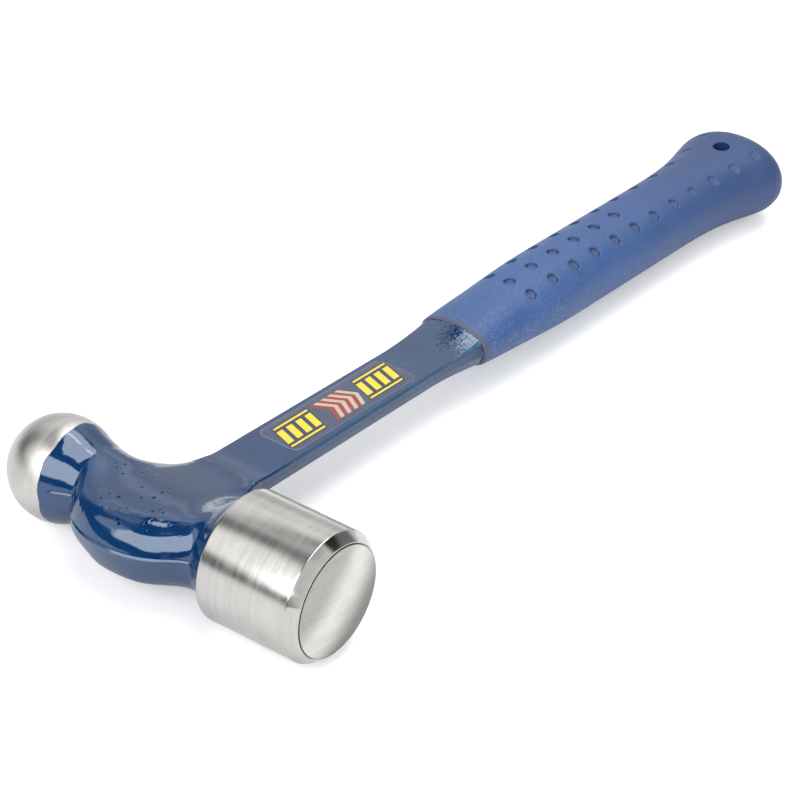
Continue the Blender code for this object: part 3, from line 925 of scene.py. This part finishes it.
def make_steel(name, stroke_scale, straight, rough, level, mottle, brushing):
    """Ground steel: strokes from stretched noise, round the head's axis or straight across the face.

    The face has a painted highlight along a slanting band, painted darker to each side, and a dark
    line of painted shade in the groove at its rim. The chamfer is smoother than the barrel.
    """
    stretch = 0.75 if straight else 0.5
    material, tree, shader, place, (x, y, z) = start_material(name, Metallic=1.0, Anisotropic=stretch)
    if straight:
        tangent = node(tree, "CombineXYZ", {0: 1.0, 1: 0.0, 2: 0.0})[0]
        smoother = 0.0
    else:
        tangent = node(tree, "Tangent", direction_type='RADIAL', axis='Y')[0]
        along = minus(times(y, cos(RAKE)), times(x, sin(RAKE)))
        chamfer = -FACE_RIM + CHAMFER
        smoother = ramp(along, chamfer - 0.3, chamfer, 0.10, 0.0)
    tree.links.new(tangent, shader.inputs["Tangent"])
    strokes = node(tree, "Mapping", {"Vector": place, "Scale": stroke_scale})[0]
    brushed = use(tree, brushing, {"Place": strokes, "Scale": 4.0})
    cloud = use(tree, mottle, {"Place": place, "Scale": 0.12, "Contrast": 1.6})[0]
    tone = sums('MULTIPLY_ADD', brushed["Tone"], 0.7, times(cloud, 0.3))
    dull, bright = [[level * part for part in shade] for shade in (STEEL_DULL, STEEL_BRIGHT)]
    colour = blend(ramp(tone, 0.25, 0.75), dull, bright)
    if straight:
        # Painted highlight: a bright slanting band across the face, painted darker to each side
        slant = minus(x, z)
        painted_sheen = times(ramp(slant, -14.0, -1.0, 0.60, 1.0), ramp(slant, 0.0, 22.0, 1.0, 0.30))
        # Painted shade: a dark line in the groove at the face's rim
        from_axis = spacing(tree, {0: x, 2: z}, (FACE_RIM * sin(RAKE), 0.0, 0.0))
        groove = ramp(from_axis, FACE_RADIUS - 0.55, FACE_RADIUS - 0.4, 1.0, 0.1)
        colour = blend(times(painted_sheen, groove), BLACK, colour)
    roughness = minus(ramp(tone, 0.25, 0.75, *rough), smoother)
    height = times(brushed["Height"], 0.004)
    return finish_material(material, colour, roughness, height)


def make_vinyl(mottle, ripple, specks):
    """Blue vinyl: cloudy colour, darker toward the butt, pale specks, a greyer front edge, a matt grain.

    Painted shade darkens the dimples' walls, and the dimples' floors are greyer, by the grip's attributes.
    Painted shade darkens the hang hole's bore too.
    """
    material, tree, _, place, (x, y, z) = start_material("blue_vinyl", IOR=1.45)
    cloud = use(tree, mottle, {"Place": place, "Scale": 0.05, "Contrast": 2.2})[0]
    colour = blend(cloud, VINYL_DEEP, VINYL_LIGHT)
    colour = blend(ramp(x, 190.0, 318.0, 0.0, 0.8), colour, VINYL_BUTT)
    fleck = use(tree, specks, {"Place": place, "Scale": 2.6, "Share": 0.45, "Size": 0.36})[0]
    flank = ramp(z, 7.0, -4.0, 0.35, 0.7)
    front = ramp(x, 150.0, 260.0, 1.0, 0.25)
    dusted = times(times(fleck, flank), front)
    colour = blend(dusted, colour, VINYL_FLECK)
    edge = ramp(x, 139.5, 142.0, 0.8, 0.0)
    colour = blend(edge, colour, VINYL_FRONT)
    pressed, fade = [node(tree, "Attribute", attribute_name=name)["Fac"] for name in ("pressed", "fade")]
    # Painted shade: the dimples' walls are darkened and their floors made greyer
    dimple = blend(ramp(pressed, 0.72, 0.96, 0.0, 0.9), DIMPLE_WALL_SHADE, DIMPLE_FLOOR_TONE)
    sunk = times(ramp(pressed, 0.05, 0.3, 0.0, 0.88), fade)
    colour = blend(sunk, colour, dimple)
    # Painted shade inside the hang hole's bore
    from_hole = spacing(tree, {0: x, 1: y}, (HOLE_PLACE, 0.0, 0.0))
    in_hole = ramp(from_hole, HOLE_RADIUS + 0.02, HOLE_RADIUS + 0.12, 1.0, 0.0)
    colour = blend(in_hole, colour, HOLE_SHADE)
    grain = use(tree, ripple, {"Place": place, "Broad": 1.1, "Broad Depth": 0.012, "Fine": 3.5,
                               "Fine Depth": 0.006})[0]
    roughness = ramp(cloud, 0.0, 1.0, 0.42, 0.55)
    return finish_material(material, colour, roughness, grain)


def stripes(value, start, period, share):
    """A mask of stripes: the remainder over a period of a value past its start, below a share of it."""
    past = minus(value, start)
    rest = sums('DIVIDE', sums('FLOORED_MODULO', past, period), period)
    return sums('LESS_THAN', rest, share)


def window(value, low, high):
    """A mask that is 1 between two values."""
    return times(sums('GREATER_THAN', value, low), sums('LESS_THAN', value, high))


def rim_reach(x, y):
    """Distance into a corner zone as wide as the label's corner, round its whole outline."""
    past = []
    for value, centre, half in ((x, LABEL_MIDDLE, LABEL_HALF_LENGTH), (y, 0.0, LABEL_HALF)):
        away = sums('ABSOLUTE', minus(value, centre))
        past.append(sums('MAXIMUM', minus(away, half - LABEL_CORNER), 0.0))
    squared = sums('MULTIPLY_ADD', past[0], past[0], times(past[1], past[1]))
    return sums('SQRT', squared)


def make_film(mottle):
    """Clear film over the lacquer with a pale rim and a plain print.

    The print is chevrons, stripes of a folded place, between two groups of slanted bars with rules.
    """
    material, tree, _, place, (x, y, _) = start_material("printed_film", IOR=1.5)
    cloud = use(tree, mottle, {"Place": place, "Scale": 0.2, "Contrast": 1.5})[0]
    colour = blend(cloud, FILM_DEEP, FILM_LIGHT)
    aside = sums('ABSOLUTE', y)
    folded = sums('ADD', x, times(aside, CHEVRON_LEAN))
    block = times(window(folded, *CHEVRONS), window(y, -CHEVRON_HALF, CHEVRON_HALF))
    chevrons = blend(stripes(folded, CHEVRONS[0], CHEVRON_PERIOD, CHEVRON_SHARE), PRINT_CREAM, PRINT_RED)
    colour = blend(times(block, 0.95), colour, chevrons)

    leaning = minus(x, times(y, BAR_LEAN))
    from_middle = sums('ABSOLUTE', minus(leaning, LABEL_MIDDLE))
    group = times(window(from_middle, *BARS), window(y, -BAR_HALF, BAR_HALF))
    bars = times(group, stripes(from_middle, BARS[0], BAR_PERIOD, BAR_SHARE))
    rules = times(window(from_middle, BARS[0], RULE_END), window(aside, *RULES))
    backing = times(window(from_middle, *BACKING), window(y, -BACKING_HALF, BACKING_HALF))
    colour = blend(times(backing, 0.9), colour, FILM_BACKING)
    colour = blend(sums('MAXIMUM', bars, rules), colour, PRINT_YELLOW)

    # Painted highlight: a pale rim round the film's edge
    rim = ramp(rim_reach(x, y), LABEL_CORNER - 0.5, LABEL_CORNER - 0.2, 0.0, 0.6)
    colour = blend(rim, colour, FILM_EDGE_HIGHLIGHT)
    roughness = ramp(cloud, 0.0, 1.0, 0.10, 0.18)
    height = times(cloud, 0.004)
    return finish_material(material, colour, roughness, height)


def make_floor_white(mottle):
    """White card: faintly cloudy, with some light added for the camera and a little for reflections."""
    material, tree, shader, place, _ = start_material("white_card", Roughness=0.9)
    cloud = use(tree, mottle, {"Place": place, "Scale": 0.004, "Contrast": 1.0})[0]
    tree.links.new(blend(cloud, CARD_DEEP, CARD_LIGHT), shader.inputs["Base Color"])
    path = node(tree, "LightPath")
    mirrored = sums('MAXIMUM', path["Is Glossy Ray"], path["Is Transmission Ray"])
    glow = times(mirrored, FLOOR_GLOSS)
    lift = sums('MULTIPLY_ADD', path["Is Camera Ray"], FLOOR_LIFT, glow)
    shader.inputs["Emission Color"].default_value = (1.0, 1.0, 1.0, 1.0)
    tree.links.new(lift, shader.inputs["Emission Strength"])
    return material


# Stage

def make_camera():
    """The photograph's view: a 121.5 mm lens on a 36 mm square frame."""
    data = bpy.data.cameras.new("camera")
    data.lens = 121.5
    data.sensor_width = 36.0
    data.clip_start = 0.01
    data.clip_end = 20.0
    camera = bpy.data.objects.new("camera", data)
    right = (0.61522388, -0.78674613, 0.05030008)
    up = (0.38286825, 0.35395281, 0.85330494)
    back = (-0.68913822, -0.50571527, 0.51898033)
    turn = Matrix((right, up, back)).transposed().to_4x4()
    turn.translation = (-0.629488, -0.431529, 0.457818)
    camera.matrix_world = turn
    scene.collection.objects.link(camera)
    scene.camera = camera


def make_stage(material):
    """The floor: a plane under the poll's back edge, the ball and the butt, on which the hammer lies."""
    reach = np.array([(-1.0, -1.0), (1.0, -1.0), (1.0, 1.0), (-1.0, 1.0)]) * FLOOR_REACH
    height = FLOOR_HEIGHT + FLOOR_SLOPE_X * reach[:, 0] + FLOOR_SLOPE_Y * reach[:, 1]
    floor = add_mesh("floor", np.column_stack([reach, height]), [(0, 1, 2, 3)])
    floor.data.materials.append(material)


def group_panel():
    """A soft panel in the sky: a smooth box in azimuth about its centre and in elevation, in degrees."""
    names = ("Azimuth", "Elevation", "Before") + PANEL_SOCKETS
    tree, given, out = new_group("panel", dict.fromkeys(names, 0.0), ["Light"])
    away = sums('WRAP', minus(given["Azimuth"], given["Centre"]), 180.0, -180.0)
    inside = [minus(given["Half Width"], sums('ABSOLUTE', away)),
              minus(given["Elevation"], given["Low"]), minus(given["High"], given["Elevation"])]
    edges = [ramp(value, times(given[soft], -1.0), given[soft])
             for value, soft in zip(inside, ("Side Edge", "Low Edge", "High Edge"))]
    share = times(times(edges[0], edges[1]), edges[2])
    light = sums('MULTIPLY_ADD', share, given["Strength"], given["Before"])
    tree.links.new(light, out["Light"])
    return tree


def make_lights():
    """A studio of soft panels round a dim room, each given by its azimuth and elevation."""
    world = bpy.data.worlds.new("studio")
    scene.world = world
    world.use_nodes = True
    tree = world.node_tree
    direction = node(tree, "TexCoord")["Generated"]
    parts = node(tree, "SeparateXYZ", {0: direction})
    degrees = 180.0 / pi
    azimuth = times(sums('ARCTAN2', parts[1], parts[0]), degrees)
    elevation = times(sums('ARCSINE', parts[2]), degrees)
    panel = group_panel()
    light = DIM_ROOM
    for values in PANELS.values():
        light = use(tree, panel, {"Azimuth": azimuth, "Elevation": elevation, "Before": light,
                                  **dict(zip(PANEL_SOCKETS, values))})[0]
    tree.links.new(light, tree.nodes["Background"].inputs["Strength"])
    tree.nodes["Background"].inputs["Color"].default_value = (1.0, 1.0, 1.0, 1.0)


scene.view_settings.view_transform = 'Standard'
make_camera()
mottle, ripple, specks, brushing = group_mottle(), group_ripple(), group_specks(), group_brushing()
steel = make_steel("ground_steel", (0.03, 1.0, 0.03), False, (0.16, 0.24), 0.87, mottle, brushing)
face = make_steel("ground_face", (0.03, 0.03, 1.0), True, (0.30, 0.42), 1.12, mottle, brushing)
ball_steel = make_steel("ball_steel", (0.03, 1.0, 0.03), False, (0.33, 0.43), 0.86, mottle, brushing)
make_forging(make_lacquer(mottle, ripple, specks))
make_poll(steel, face)
make_ball(ball_steel)
make_grip(make_vinyl(mottle, ripple, specks))
make_label(make_film(mottle))
make_stage(make_floor_white(mottle))
make_lights()
